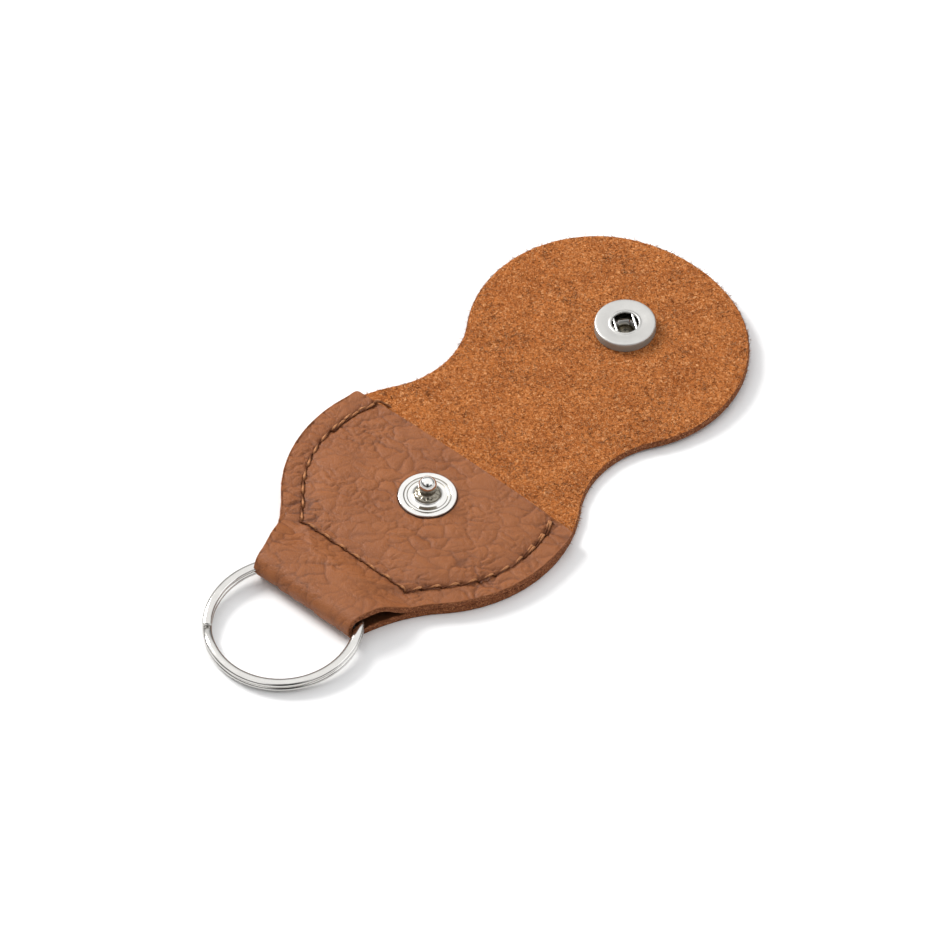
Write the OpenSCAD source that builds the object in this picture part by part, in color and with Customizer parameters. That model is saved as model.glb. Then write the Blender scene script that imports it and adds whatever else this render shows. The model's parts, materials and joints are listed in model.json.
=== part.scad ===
// Key-ring pick holder, lying open with its flap end towards +Y.
// One strip of leather is folded round a split ring and sewn into a pocket. Its free end is
// a round flap, closed by a spring snap. The flap folds along two parallel lines.
// The origin is on the back face, on the outline's centreline, level with the snap stud.

/* [Leather] */
// Thickness of the leather
leather_t = 1.4; // [1.2:0.1:1.6]
// Radius of the pocket's round outline
pouch_r = 25.4; // [24.5:0.1:26.5]
// How far the centre of that outline lies beyond the stud
pouch_y = 1.9; // [1:0.1:3]
// Half width of the neck at its narrowest
neck_half_w = 10; // [9.5:0.1:10.5]
// Radius of the hollow curve between the neck and the pocket
neck_fillet_r = 29.5; // [25:0.5:32]
// Radius of the hollow curve at the waist
waist_r = 17; // [15:0.5:20]

/* [Flap] */
// Radius of the flap's round sides
head_side_r = 22.3; // [21:0.1:23]
// How far the centre of each side curve lies from the centreline
head_dx = 2.8; // [2:0.1:4]
// Distance of the side curves' centres from the stud
head_y = 47.9; // [46.5:0.1:49]
// Radius of the flatter curve at the flap's end
head_top_r = 29.8; // [27:0.1:34]
// Angle at which the open flap lies, resting on its snap cap
flap_rest_deg = 2; // [1:0.5:3]

/* [Folds] */
// Distance of the first flap fold from the stud
fold_y = 23.7; // [23:0.05:24.5]
// Distance between the two flap folds
fold_gap = 4.2; // [4:0.05:5]
// Gap between the leather sections at a flap fold
fold_slit = 0.2; // [0.1:0.05:0.3]
// Place of the fold where the neck bends
neck_fold_y = -19.8; // [-20.2:0.1:-19.4]
// Gap between the leather sections at the neck
neck_slit = 1.1; // [1:0.1:1.3]

/* [Pocket] */
// Place of the pocket's mouth
mouth_y = 10.45; // [9:0.05:12]
// Gap between front and back panel at the mouth
mouth_gap = 0.25; // [0.2:0.05:0.5]
// Gap between front and back panel where the front starts to rise
seam_gap = 0.85; // [0.7:0.05:1.2]

/* [Ring loop] */
// Outermost place of the fold round the ring
loop_end_y = -31; // [-31.5:0.1:-30.6]
// Free height inside the loop
loop_gap = 2.5; // [2.3:0.1:2.8]
// Place where the top of the loop starts down to the pocket
ramp_start_y = -22.2; // [-23:0.1:-21.8]
// Place where that ramp meets the front panel
ramp_end_y = -16.8; // [-17.5:0.1:-16]
// Radius of the bend at each end of the ramp
ramp_bend_r = 7; // [4:0.5:9]

/* [Split ring] */
// Outer radius of the ring
ring_r = 13.5; // [13.3:0.05:13.9]
// Width of the flattened wire
ring_band = 1.7; // [1.5:0.1:1.8]
// Height of the two turns together
ring_h = 2; // [1.8:0.1:2.1]
// Sideways place of the ring's centre
ring_x = 0.6; // [-0.3:0.1:0.8]
// Lengthways place of the ring's centre
ring_y = -35.8; // [-36:0.1:-35.4]
// Angle of the ring, with its far side on the table
ring_tilt = 3.4; // [2.5:0.1:3.4]

/* [Snap] */
// Sideways place of the snap
snap_x = 0.8; // [0:0.1:2]
// Radius of the stud's flange
stud_r = 5; // [4.6:0.1:5.4]
// Radius of the stud's ball
ball_r = 1.6; // [1.5:0.05:1.7]
// Height of the ball's centre above the leather
ball_h = 2.5; // [2.3:0.05:2.6]
// Outer radius of the socket
socket_r = 5.35; // [5:0.05:5.8]
// Height of the socket
socket_h = 1.9; // [1.8:0.05:1.95]
// Radius of the cap
cap_r = 6.2; // [5.8:0.1:6.8]
// Radius of the dome on the cap
cap_dome_r = 40; // [35:1:60]

/* [Sewing] */
// Distance of the seam from the leather's edge
seam_inset = 3.7; // [3.3:0.1:4.2]
// Place of the seam's straight run across the neck end
seam_end_y = -18; // [-18.2:0.1:-17.4]
// Diameter of the sewing thread
thread_d = 0.7; // [0.5:0.05:0.8]
// Stitches along each round side
side_stitches = 8; // [6:1:9]
// Stitches along each hollow curve
curve_stitches = 2; // [1:1:3]
// Stitches along the straight run
end_stitches = 7; // [5:1:9]
// Stitches sewn twice at each end of the seam
back_stitches = 3; // [2:1:4]

/* [Hidden] */
$fn = 96;
leather = [0.63, 0.41, 0.28];
suede = [0.70, 0.44, 0.24];
nickel = [0.80, 0.79, 0.77];
thread_colour = [0.72, 0.46, 0.26];
big = 200;

function unit(v) = v / norm(v);
// The crossing of two circles on the +X side
function circles_meet(p, rp, q, rq) =
    let (d = norm(q - p), u = (q - p) / d, a = (rp * rp - rq * rq + d * d) / (2 * d))
    p + u * a + [u[1], -u[0]] * sqrt(rp * rp - a * a);
function arc_points(c, r, from, to, n, first = 0) =
    [for (i = [first:n]) let (a = from + (to - from) * i / n) c + r * [cos(a), sin(a)]];
function reverse(v) = [for (i = [len(v) - 1:-1:0]) v[i]];
function direction(v) = atan2(v[1], v[0]);

// Outline: centres of its curves and the directions in which they join
pouch_c = [0, pouch_y];
neck_c_x = neck_half_w + neck_fillet_r;
neck_c = [neck_c_x, pouch_y - sqrt(pow(pouch_r + neck_fillet_r, 2) - pow(neck_c_x, 2))];
side_c = [head_dx, head_y];
waist_c = circles_meet(pouch_c, pouch_r + waist_r, side_c, head_side_r + waist_r);
top_c = [0, head_y - sqrt(pow(head_top_r - head_side_r, 2) - pow(head_dx, 2))];
join_deg = direction(neck_c - pouch_c);
waist_low_deg = direction(waist_c - pouch_c);
waist_high_deg = direction(waist_c - side_c);
top_deg = direction(side_c - top_c);
neck_start_deg = 180 - asin((loop_end_y - 1 - neck_c[1]) / neck_fillet_r);
right_edge = concat(
    arc_points(neck_c, neck_fillet_r, neck_start_deg, 180 + join_deg, 14),
    arc_points(pouch_c, pouch_r, join_deg, waist_low_deg, 40, 1),
    arc_points(waist_c, waist_r, 180 + waist_low_deg, 180 + waist_high_deg, 18, 1),
    arc_points(side_c, head_side_r, waist_high_deg, top_deg, 44, 1),
    arc_points(top_c, head_top_r, top_deg, 90, 8, 1));
left_edge = [for (i = [len(right_edge) - 2:-1:0]) [-right_edge[i][0], right_edge[i][1]]];

// Side profile of the folded strip
half_t = leather_t / 2;
loop_r = leather_t + loop_gap / 2;
loop_c = [loop_end_y + loop_r, loop_r];
loop_mid_r = loop_r - half_t;
front_slope = (seam_gap - mouth_gap) / (mouth_y - ramp_end_y);
front_deg = atan(front_slope);
function front_mid_z(y) = leather_t + mouth_gap + half_t + (mouth_y - y) * front_slope;
function front_top_z(y) = front_mid_z(y) + half_t / cos(front_deg);
ramp_top = [ramp_start_y, loop_c[1] + loop_mid_r];
ramp_foot = [ramp_end_y, front_mid_z(ramp_end_y)];
ramp_deg = atan((ramp_top[1] - ramp_foot[1]) / (ramp_foot[0] - ramp_top[0]));
top_bend_c = ramp_top - [ramp_bend_r * tan(ramp_deg / 2), ramp_bend_r];
foot_bend_c = ramp_foot + ramp_bend_r * [sin(ramp_deg), cos(ramp_deg)]
    - ramp_bend_r * tan((ramp_deg - front_deg) / 2) * [cos(ramp_deg), -sin(ramp_deg)];
mouth_mid = [mouth_y, front_mid_z(mouth_y)];
// One face of the strip: side 1 is the grain face, side -1 the suede face
function strip_face(side) = concat(
    [[neck_fold_y, half_t - side * half_t]],
    arc_points(loop_c, loop_mid_r + side * half_t, 270, 90, 24),
    arc_points(top_bend_c, ramp_bend_r + side * half_t, 90, 90 - ramp_deg, 6),
    arc_points(foot_bend_c, ramp_bend_r - side * half_t, 270 - ramp_deg, 270 - front_deg, 6),
    [mouth_mid + side * half_t * [sin(front_deg), cos(front_deg)]]);

// Flap folds: both axes lie just above the suede face
axis_lift = 0.1;
axis_z = leather_t + axis_lift;
flap_arm = fold_y;
socket_y = fold_y + fold_gap + flap_arm;
hole_clear = 0.05;

// Snap
sheet_t = 0.3;
post_r = 0.9;
post_head_r = 1.15;
stud_sink = 0.25;
tube_r = 2.15;
tube_bore_r = 1.85;
plate_t = 0.35;
shell_hole_r = 2.7;
flare_r = 2.55;
lip_t = 0.3;
shell_wall = 0.45;
shell_shoulder = 0.3;
spring_d = 0.5;
spring_leg_x = 1.7;
spring_r = 3.9;
spring_bend_r = 0.6;
spring_free_y = 2.8;
spring_turn = 41;
spring_z = socket_h - lip_t - spring_d / 2 - 0.02;
flange_t = 0.3;
flange_r = 4;
// Sphere of the cap's dome, set so that it touches the table when the flap lies open
dome_z = axis_z + (cap_dome_r - axis_z - fold_gap * sin(flap_rest_deg / 2)
    - flap_arm * sin(flap_rest_deg)) / cos(flap_rest_deg);
cap_low = dome_z - cap_dome_r;

// Ring: it rests on the loop's floor, pressed slightly into it
ring_dent = 0.1;
ring_clear = 0.15;
ring_in_r = ring_r - ring_band;
ring_edge = 0.35;
ring_slot = 0.6;
ring_end_deg = 220;
ring_z = leather_t + ring_h / 2 - ring_dent - tan(ring_tilt) * (loop_c[0] - ring_y);

// Seam: needle holes, walked from the left end round to the right end
seam_r = pouch_r - seam_inset;
curve_seam_r = neck_fillet_r + seam_inset;
seam_top_deg = asin((mouth_y - 0.6 - pouch_y) / seam_r);
curve_end_deg = 180 - asin((seam_end_y - neck_c[1]) / curve_seam_r);
corner_x = neck_c[0] + curve_seam_r * cos(curve_end_deg);
side_holes = arc_points(pouch_c, seam_r, seam_top_deg, join_deg, side_stitches);
curve_holes = arc_points(neck_c, curve_seam_r, 180 + join_deg, curve_end_deg, curve_stitches);
end_holes = [for (i = [1:end_stitches - 1])
    [corner_x * (1 - 2 * i / end_stitches), seam_end_y]];
right_holes = concat(side_holes, [for (i = [1:curve_stitches]) curve_holes[i]]);
left_holes = [for (p = reverse(right_holes)) [-p[0], p[1]]];
holes = concat(right_holes, end_holes, left_holes);
back_shift = 0.85;
stitch_short = 1;
needle_sink = 0.05;
bobbin_z = thread_d / 2 + 0.02;
lock_z = leather_t + mouth_gap / 2;

// ---------- outline and placing ----------

// The outline between two places along the strip
module outline_part_2d(y0, y1) {
    intersection() {
        polygon(concat(right_edge, left_edge));
        translate([-big / 2, y0]) square([big, y1 - y0]);
    }
}

module leather_plate(y0, y1) {
    linear_extrude(leather_t) outline_part_2d(y0, y1);
}

module folded_strip() {
    rotate([90, 0, 90])
        linear_extrude(big, center = true)
            polygon(concat(strip_face(1), reverse(strip_face(-1))));
}

module on_fold_strip() {
    translate([0, fold_y, axis_z])
        rotate([flap_rest_deg / 2, 0, 0])
            translate([0, -fold_y, -axis_z]) children();
}

module on_flap() {
    on_fold_strip()
        translate([0, fold_y + fold_gap, axis_z])
            rotate([flap_rest_deg / 2, 0, 0])
                translate([0, -fold_y - fold_gap, -axis_z]) children();
}

module at_socket() {
    on_flap() translate([snap_x, socket_y, leather_t]) children();
}

module at_stud() {
    translate([snap_x, 0, front_top_z(0)]) rotate([-front_deg, 0, 0]) children();
}

module at_ring() {
    translate([ring_x, ring_y, ring_z]) rotate([ring_tilt, 0, 0]) children();
}

// ---------- leather ----------

module back_panel() {
    color(suede) leather_plate(neck_fold_y + neck_slit / 2, fold_y - fold_slit / 2);
}

module front_panel() {
    color(leather) difference() {
        intersection() {
            linear_extrude(big) outline_part_2d(neck_fold_y + neck_slit / 2, mouth_y + 1);
            folded_strip();
        }
        at_stud() {
            cylinder(r = post_r + hole_clear, h = 8, center = true);
            cylinder(r = stud_r + hole_clear, h = 2 * stud_sink, center = true);
        }
    }
}

module ring_loop() {
    color(leather) difference() {
        intersection() {
            linear_extrude(big) outline_part_2d(loop_end_y - 1, neck_fold_y - neck_slit / 2);
            folded_strip();
        }
        at_ring() difference() {
            cylinder(r = ring_r + ring_clear, h = ring_h + 2 * ring_clear, center = true);
            cylinder(r = ring_in_r - ring_clear, h = ring_h + 1, center = true);
        }
    }
}

module fold_strip() {
    color(suede) on_fold_strip()
        leather_plate(fold_y + fold_slit / 2, fold_y + fold_gap - fold_slit / 2);
}

module flap() {
    color(suede) difference() {
        on_flap() leather_plate(fold_y + fold_gap + fold_slit / 2, big / 2);
        at_socket() cylinder(r = tube_r + hole_clear, h = 8, center = true);
    }
}

// ---------- sewing ----------

// A stitch between two holes: a bar on the surface and a leg down each hole.
// Its z = 0 is the bar's middle, and depth is the length of the legs.
module stitch(a, b, depth) {
    bar = norm(b - a) - stitch_short;
    translate([(a[0] + b[0]) / 2, (a[1] + b[1]) / 2, 0])
        rotate([90, 0, atan2(b[1] - a[1], b[0] - a[0])])
            linear_extrude(thread_d, center = true) {
                square([bar, thread_d], center = true);
                for (s = [-1, 1]) translate([s * bar / 2, 0]) {
                    circle(d = thread_d, $fn = 24);
                    translate([-thread_d / 2, -depth]) square([thread_d, depth]);
                }
            }
}

// Every stitch of the seam, then the ones sewn twice at its two ends
module seam(depth) {
    last = len(holes) - 1;
    for (i = [0:last - 1]) stitch(holes[i], holes[i + 1], depth);
    for (i = [0:back_stitches - 1], s = [-1, 1]) {
        a = s > 0 ? holes[i] : holes[last - i];
        b = s > 0 ? holes[i + 1] : holes[last - i - 1];
        inward = [-s * back_shift, 0];
        stitch(a + inward, b + inward, depth);
    }
}

// A straight run of thread between two points
module thread_run(p, q) {
    d = q - p;
    translate(p) rotate([0, acos(d[2] / norm(d)), atan2(d[1], d[0])])
        cylinder(d = thread_d, h = norm(d), $fn = 24);
}

module needle_thread() {
    tail_from = [-holes[0][0] - 0.2, holes[0][1] + 0.3, front_top_z(mouth_y)];
    tail_over = [-holes[0][0] + 0.5, mouth_y + 0.9, front_top_z(mouth_y) - 0.2];
    tail_down = [-holes[0][0] + 1.6, mouth_y + 1.7, leather_t + thread_d / 2];
    color(thread_colour) {
        translate([0, mouth_y, front_top_z(mouth_y) - needle_sink])
            rotate([-front_deg, 0, 0])
                translate([0, -mouth_y, 0])
                    seam(leather_t + mouth_gap / 2 - 0.1);
        thread_run(tail_from, tail_over);
        thread_run(tail_over, tail_down);
        translate(tail_over) sphere(d = thread_d, $fn = 24);
    }
}

module bobbin_thread() {
    color(thread_colour)
        translate([0, 0, bobbin_z]) mirror([0, 0, 1]) seam(lock_z - bobbin_z - 0.1);
}

// ---------- snap: cap, socket and spring on the flap ----------

// Its z = 0 is the flap's grain face: a domed disc below it and, above it, a hollow post
// through the leather that is flared over the socket's plate
module snap_cap() {
    rim_r = cap_r - 0.2;
    back_z = -0.03;
    floor_z = cap_low + sheet_t;
    flare_z = leather_t + plate_t + 0.02;
    dome = [for (i = [0:12]) let (r = rim_r * i / 12) [r, dome_z - sqrt(pow(cap_dome_r, 2) - r * r)]];
    color(nickel) at_socket() translate([0, 0, -leather_t])
        rotate_extrude() polygon(concat(dome, [
            [cap_r, dome[12][1] + 0.15], [cap_r, back_z], [tube_r, back_z], [tube_r, flare_z],
            [flare_r, flare_z + 0.05], [flare_r, flare_z + 0.25], [tube_bore_r, flare_z + 0.1],
            [tube_bore_r, floor_z], [0, floor_z]]));
}

module socket_plate() {
    color(nickel) at_socket() difference() {
        cylinder(r = socket_r - 0.75, h = plate_t);
        translate([0, 0, -1]) cylinder(r = tube_r + hole_clear, h = 3);
    }
}

// Rolled ring: outer wall, rounded shoulder and inward face
module socket_shell() {
    shoulder_c = [socket_r - shell_shoulder, socket_h - shell_shoulder];
    color(nickel) at_socket() rotate_extrude() difference() {
        union() {
            square([socket_r, shoulder_c[1]]);
            square([shoulder_c[0], socket_h]);
            translate(shoulder_c) circle(r = shell_shoulder);
        }
        translate([-1, -1]) square([1 + shell_hole_r, 1 + socket_h + 1]);
        translate([-1, -1]) square([1 + socket_r - shell_wall, 1 + socket_h - lip_t]);
    }
}

// A round wire along a flat path
module flat_wire(path, d, sides = 8) {
    last = len(path) - 1;
    function heading(i) = unit(path[min(i + 1, last)] - path[max(i - 1, 0)]);
    points = [for (i = [0:last], k = [0:sides - 1])
        let (h = heading(i), a = 360 * k / sides)
        [path[i][0] + d / 2 * cos(a) * h[1], path[i][1] - d / 2 * cos(a) * h[0], d / 2 * sin(a)]];
    walls = [for (i = [0:last - 1], k = [0:sides - 1]) let (n = (k + 1) % sides)
        [i * sides + k, (i + 1) * sides + k, (i + 1) * sides + n, i * sides + n]];
    ends = [[for (k = [0:sides - 1]) k], [for (k = [sides - 1:-1:0]) last * sides + k]];
    polyhedron(points, concat(walls, ends));
}

// One wire: two straight legs beside the ball, joined by an arc round one side
module socket_spring() {
    turn_r = spring_r - spring_bend_r;
    left_x = -spring_leg_x - spring_bend_r;
    right_x = spring_leg_x - spring_bend_r;
    left_c = [left_x, sqrt(pow(turn_r, 2) - pow(left_x, 2))];
    right_c = [right_x, -sqrt(pow(turn_r, 2) - pow(right_x, 2))];
    left_deg = direction(left_c);
    right_deg = direction(right_c);
    path = concat(
        [[-spring_leg_x, -spring_free_y]],
        arc_points(left_c, spring_bend_r, 0, left_deg, 6),
        arc_points([0, 0], spring_r, left_deg, 360 + right_deg, 20, 1),
        arc_points(right_c, spring_bend_r, right_deg, 0, 4, 1),
        [[spring_leg_x, spring_free_y]]);
    color(nickel) at_socket()
        translate([0, 0, spring_z]) rotate([0, 0, spring_turn]) flat_wire(path, spring_d);
}

// ---------- snap: stud on the pocket ----------

// Its z = 0 is the leather's surface, and its flange is pressed stud_sink into it
module stud() {
    rim_r = 4.2;
    rim_h = 0.24;
    foot_r = 2.2;
    foot_h = 0.6;
    neck_r = 1.25;
    color(nickel) at_stud() difference() {
        union() {
            rotate_extrude() polygon([[0, -stud_sink], [stud_r - 0.15, -stud_sink],
                [stud_r, 0.15 - stud_sink], [stud_r, rim_h - 0.15], [stud_r - 0.15, rim_h],
                [rim_r, rim_h], [rim_r - 0.25, rim_h - 0.12], [3.45, rim_h - 0.12],
                [3.3, 0.05], [foot_r + 0.2, 0.05], [foot_r, foot_h], [neck_r, foot_h + 0.4],
                [neck_r, ball_h], [0, ball_h]]);
            translate([0, 0, ball_h]) sphere(r = ball_r);
        }
        translate([0, 0, -1]) cylinder(r = post_r + 0.02, h = 1 + ball_h);
        translate([0, 0, ball_h - 0.5]) cylinder(r = post_head_r + 0.02, h = 1.2);
    }
}

// Eyelet: flange inside the pocket, shank through the leather, head inside the ball
module stud_post() {
    color(nickel) at_stud() {
        translate([0, 0, -leather_t - flange_t - 0.02]) cylinder(r = flange_r, h = flange_t);
        translate([0, 0, -leather_t - flange_t]) cylinder(r = post_r, h = leather_t + ball_h);
        translate([0, 0, ball_h - 0.45]) cylinder(r = post_head_r, h = 0.5);
    }
}

// ---------- ring ----------

// One flat turn of wire with softened edges, open at its end
module ring_turn(z0, z1, end_deg) {
    difference() {
        rotate_extrude($fn = 160) polygon([
            [ring_in_r + ring_edge, z0], [ring_r - ring_edge, z0], [ring_r, z0 + ring_edge],
            [ring_r, z1 - ring_edge], [ring_r - ring_edge, z1], [ring_in_r + ring_edge, z1],
            [ring_in_r, z1 - ring_edge], [ring_in_r, z0 + ring_edge]]);
        rotate([0, 0, end_deg])
            translate([ring_r, 0, (z0 + z1) / 2])
                cube([3 * ring_band, ring_slot, z1 - z0 + 0.02], center = true);
    }
}

module split_ring() {
    color(nickel) at_ring() {
        ring_turn(-ring_h / 2, 0, ring_end_deg + 5);
        ring_turn(0, ring_h / 2, ring_end_deg - 5);
    }
}

back_panel();
front_panel();
ring_loop();
fold_strip();
flap();
needle_thread();
bobbin_thread();
snap_cap();
socket_shell();
socket_plate();
socket_spring();
stud();
stud_post();
split_ring();
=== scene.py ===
"""Looks of the leather pick holder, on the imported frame. Sizes are in millimetres up to mesh_piece()."""
import json
import math

import bpy
import numpy as np
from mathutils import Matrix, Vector
from mathutils.geometry import delaunay_2d_cdt


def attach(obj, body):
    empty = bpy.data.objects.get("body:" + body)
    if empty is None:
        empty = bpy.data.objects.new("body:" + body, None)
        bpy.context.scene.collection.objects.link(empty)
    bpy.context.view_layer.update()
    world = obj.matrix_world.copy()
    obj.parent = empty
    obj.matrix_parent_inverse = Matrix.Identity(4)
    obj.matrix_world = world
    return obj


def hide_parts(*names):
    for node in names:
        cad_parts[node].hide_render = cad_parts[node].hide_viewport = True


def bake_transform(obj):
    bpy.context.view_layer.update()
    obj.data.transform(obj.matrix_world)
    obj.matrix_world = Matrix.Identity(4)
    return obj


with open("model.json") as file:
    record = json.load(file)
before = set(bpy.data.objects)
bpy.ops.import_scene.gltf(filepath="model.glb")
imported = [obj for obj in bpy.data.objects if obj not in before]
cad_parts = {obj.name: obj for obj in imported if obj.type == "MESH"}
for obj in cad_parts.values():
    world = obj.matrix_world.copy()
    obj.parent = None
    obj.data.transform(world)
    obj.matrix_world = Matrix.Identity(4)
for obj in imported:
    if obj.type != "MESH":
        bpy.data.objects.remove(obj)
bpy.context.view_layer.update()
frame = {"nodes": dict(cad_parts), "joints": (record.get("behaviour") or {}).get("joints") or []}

MM = 0.001
RNG = np.random.default_rng(7)

# ---------- node trees ----------

class Nodes:
    """Short ways to add to the node tree of a material or a world."""

    def __init__(self, owner, shader, **inputs):
        owner.use_nodes = True
        self.owner, self.tree = owner, owner.node_tree
        self.shader = self.tree.nodes[shader]
        self.shade(**inputs)

    def shade(self, **inputs):
        """Feeds the shader and gives back the material or the world."""
        for key, value in inputs.items():
            self.feed(self.shader.inputs[key.replace("_", " ")], value)
        return self.owner

    def feed(self, socket, value):
        """Links a socket to another one, or gives it a plain value."""
        if hasattr(value, "is_linked"):
            self.tree.links.new(value, socket)
        else:
            socket.default_value = value

    def add(self, kind, inputs=(), **settings):
        node = self.tree.nodes.new("ShaderNode" + kind)
        for key, value in settings.items():
            setattr(node, key, value)
        for socket, value in dict(inputs).items():
            self.feed(node.inputs[socket], value)
        return node

    def attribute(self, name, output="Fac"):
        return self.add("Attribute", attribute_name=name).outputs[output]

    def noise(self, place, scale, detail=3.0, roughness=0.55, distortion=0.0):
        inputs = {"Vector": place, "Scale": scale, "Detail": detail, "Roughness": roughness}
        return self.add("TexNoise", {**inputs, "Distortion": distortion}).outputs["Fac"]

    def ramp(self, source, *stops):
        """A value or a colour at each place from 0 to 1."""
        node = self.add("ValToRGB", {0: source})
        elements = node.color_ramp.elements
        while len(elements) < len(stops):
            elements.new(0.5)
        for element, (place, colour) in zip(elements, stops):
            element.position = place
            element.color = (*(colour if isinstance(colour, tuple) else (colour,) * 3), 1)
        return node.outputs[0]

    def math(self, operation, a, b):
        return self.add("Math", {0: a, 1: b}, operation=operation).outputs[0]

    def mix(self, factor, a, b):
        node = self.add("Mix", data_type="RGBA")
        for socket, value in ((0, factor), (6, a), (7, b)):
            self.feed(node.inputs[socket], (*value, 1) if isinstance(value, tuple) else value)
        return node.outputs[2]

    def bump(self, height, distance, strength=1.0, **normal):
        inputs = {"Height": height, "Distance": distance, "Strength": strength, **normal}
        return self.add("Bump", inputs).outputs[0]


# ---------- camera, light and floor, in metres ----------

AZIMUTH, ELEVATION = math.radians(41.17), math.radians(48.9)
CAMERA_DISTANCE, FOCAL_LENGTH, SENSOR = 1.0, 223.4, 36
AIM = Vector((0.00198, 0.01082, 0))
IMAGE_RIGHT = Vector((math.cos(AZIMUTH), math.sin(AZIMUTH), 0))
AWAY = Vector((-math.sin(AZIMUTH), math.cos(AZIMUTH), 0))
BACK = Vector((math.sin(AZIMUTH) * math.cos(ELEVATION), -math.cos(AZIMUTH) * math.cos(ELEVATION),
               math.sin(ELEVATION)))
WORLD_STRENGTH = 1.27
FLOOR_HALF = 4.0


def placed(name, data, place, heading):
    """A new object at a place in metres, looking along its heading."""
    thing = bpy.data.objects.new(name, data)
    thing.location = place
    thing.rotation_mode = "QUATERNION"
    thing.rotation_quaternion = heading.to_track_quat("-Z", "Y")
    bpy.context.scene.collection.objects.link(thing)
    return thing


def make_camera():
    data = bpy.data.cameras.new("camera")
    data.lens, data.sensor_width = FOCAL_LENGTH, SENSOR
    data.clip_start, data.clip_end = 0.05, 20
    bpy.context.scene.camera = placed("camera", data, AIM + BACK * CAMERA_DISTANCE, -BACK)


def area_light(name, right, away, up, size, power, colour):
    """A round lamp that stands to the right of the aim, away from the viewer and up by so many metres."""
    light = bpy.data.lights.new(name, "AREA")
    light.shape, light.size, light.energy, light.color = "DISK", size, power, colour
    place = AIM + IMAGE_RIGHT * right + AWAY * away + Vector((0, 0, up))
    placed(name, light, place, AIM - place)


def make_world():
    """A white dome with a dark band at its sides, a fainter one behind and a dark strip where the viewer is:
    the plated metal takes its dark accents from them."""
    bpy.context.scene.world = bpy.data.worlds.new("studio")
    n = Nodes(bpy.context.scene.world, "Background", Strength=WORLD_STRENGTH)
    direction = n.add("TexCoord").outputs["Generated"]
    height, front, across = (
        n.add("VectorMath", {0: direction, 1: axis}, operation="DOT_PRODUCT").outputs["Value"]
        for axis in ((0, 0, 1), -AWAY, IMAGE_RIGHT))
    dome = n.ramp(height, (0.0, 0.62), (0.45, 0.66), (0.72, 1.0))
    band = n.ramp(height, (0.34, 0.0), (0.44, 0.93), (0.62, 0.93), (0.72, 0.0))
    beside = n.ramp(n.math("ADD", front, 0.5), (0.28, 0.0), (0.50, 1.0))
    far_band = n.ramp(height, (0.12, 0.0), (0.20, 0.75), (0.36, 0.75), (0.46, 0.0))
    behind = n.ramp(n.math("ADD", front, 1.0), (0.70, 1.0), (0.95, 0.0))
    strip = n.ramp(n.math("MULTIPLY", across, across), (0.03, 0.97), (0.13, 0.0))
    in_front = n.ramp(front, (0.30, 0.0), (0.50, 1.0))
    raised = n.ramp(height, (0.24, 0.0), (0.42, 1.0))
    viewer = n.math("MULTIPLY", n.math("MULTIPLY", strip, in_front), raised)
    dark = n.math("MAXIMUM", n.math("MULTIPLY", band, beside), viewer)
    dark = n.math("MAXIMUM", dark, n.math("MULTIPLY", far_band, behind))
    n.shade(Color=n.math("MULTIPLY", dome, n.math("SUBTRACT", 1.0, dark)))


def make_floor(material):
    mesh = bpy.data.meshes.new("floor")
    corners = [(x * FLOOR_HALF, y * FLOOR_HALF, 0) for x, y in ((-1, -1), (1, -1), (1, 1), (-1, 1))]
    mesh.from_pydata(corners, [], [(0, 1, 2, 3)])
    mesh.materials.append(material)
    floor = bpy.data.objects.new("floor", mesh)
    bpy.context.scene.collection.objects.link(floor)


# ---------- materials ----------

def principled(name, **inputs):
    return Nodes(bpy.data.materials.new(name), "Principled BSDF", **inputs)


def grain_leather():
    """Pebbled grain: the creases are in the mesh, and the fine pores and wrinkles are here."""
    n = principled("grain_leather", Specular_IOR_Level=0.36)
    flat = n.attribute("flat", "Vector")
    patches = n.noise(flat, 0.14)
    mottle = n.noise(flat, 0.9, 4.0, 0.6)
    pores = n.add("TexVoronoi", {"Vector": flat, "Scale": 2.6, "Randomness": 1.0}, feature="DISTANCE_TO_EDGE")
    fine = n.noise(flat, 7.0, 4.0, 0.6)
    base = n.ramp(patches, (0.35, (0.242, 0.073, 0.0165)), (0.68, (0.286, 0.090, 0.0215)))
    base = n.mix(n.ramp(mottle, (0.38, 0.0), (0.66, 0.35)), base, (0.325, 0.114, 0.036))
    # Painted shade: the crease attribute darkens the creases, the wrinkles, the seam's groove and the dent
    # round the stud
    base = n.mix(n.math("MULTIPLY", n.attribute("crease"), 0.72), base, (0.085, 0.024, 0.008))
    # Painted shadow: a dark ring where the leather closes round the stud
    stud = (SNAP_X, float(s_front(0)), HALF)
    from_stud = n.add("VectorMath", {0: flat, 1: stud}, operation="DISTANCE").outputs["Value"]
    gap = n.ramp(n.math("SUBTRACT", from_stud, STUD_R - 0.1), (0.14, 0.9), (0.34, 0.0))
    base = n.mix(gap, base, (0.020, 0.008, 0.004))
    normal = n.bump(n.ramp(pores.outputs["Distance"], (0.0, 0.0), (0.16, 1.0)), 0.000035)
    normal = n.bump(fine, 0.00004, Normal=normal)
    return n.shade(Base_Color=base, Roughness=n.ramp(mottle, (0.3, 0.46), (0.7, 0.60)), Normal=normal)


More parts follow.
